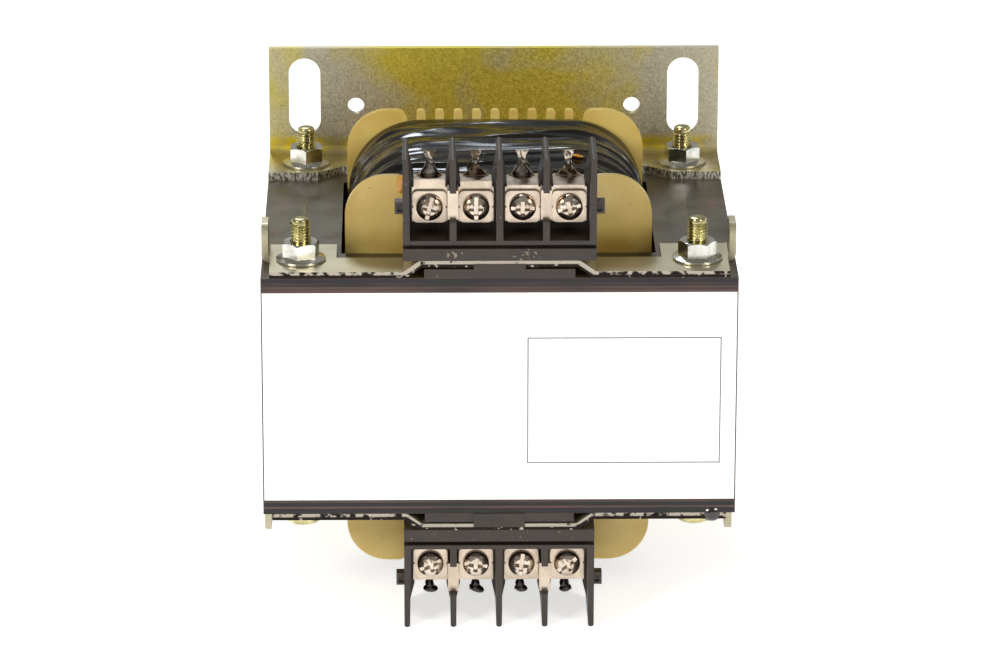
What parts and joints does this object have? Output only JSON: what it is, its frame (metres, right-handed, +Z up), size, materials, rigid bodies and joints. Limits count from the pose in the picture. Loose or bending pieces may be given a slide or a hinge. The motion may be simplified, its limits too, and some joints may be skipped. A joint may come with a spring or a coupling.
{
  "type": "laminated chassis transformer",
  "caption": "Laminated chassis transformer: varnished steel core, bobbin-wound coil, barrier terminal blocks above and below, and slotted brackets that fix it to a panel.",
  "frame": {"origin": "under the middle of the whole part, at the level of the lower bracket's edge and the lower barriers' tips", "axes": "+Z up, from the lower terminal block to the upper one; +Y from the label to the panel that the brackets bolt to; +X to the right, seen from the label's side"},
  "size_m": [0.114, 0.0972, 0.1192],
  "materials": {
    "core_steel": "dark brown dipped varnish on steel sheets",
    "bobbin_nylon": "varnished cream nylon, slightly translucent",
    "copper_wire": "enamelled copper wire",
    "insulation_paper": "layer paper",
    "coil_tape": "glossy black tape, wrinkled",
    "lead_sleeve": "olive woven sleeve",
    "strap_zinc": "clear zinc plating",
    "bracket_zinc": "yellow chromated zinc plating",
    "screw_zinc": "yellowed zinc plating",
    "nut_zinc": "bright zinc plating",
    "block_phenolic": "moulded black-brown resin",
    "terminal_nickel": "nickel plating",
    "screw_nickel": "nickel plating, polished head",
    "label_vinyl": "white film"
  },
  "bodies": {
    "root": {"e_laminations": "core_steel", "i_laminations": "core_steel", "bobbin": "bobbin_nylon", "primary_winding": "copper_wire", "interwinding_insulation": "insulation_paper", "secondary_winding": "copper_wire", "coil_wrap": "coil_tape", "leads_top": "lead_sleeve", "leads_bottom": "lead_sleeve", "terminal_strap_top": "strap_zinc", "terminal_strap_bottom": "strap_zinc", "mounting_bracket_top": "bracket_zinc", "mounting_bracket_bottom": "bracket_zinc", "core_screws": "screw_zinc", "core_nuts": "nut_zinc", "terminal_block_top": "block_phenolic", "terminal_block_bottom": "block_phenolic", "terminal_top_1": "terminal_nickel", "terminal_top_2": "terminal_nickel", "terminal_top_3": "terminal_nickel", "terminal_top_4": "terminal_nickel", "terminal_bottom_1": "terminal_nickel", "terminal_bottom_2": "terminal_nickel", "terminal_bottom_3": "terminal_nickel", "terminal_bottom_4": "terminal_nickel", "clamp_plates_top": "terminal_nickel", "clamp_plates_bottom": "terminal_nickel", "terminal_screws_top": "screw_nickel", "terminal_screws_bottom": "screw_nickel", "jumper_links_top": "terminal_nickel", "jumper_links_bottom": "terminal_nickel", "label": "label_vinyl"}
  },
  "joints": []
}
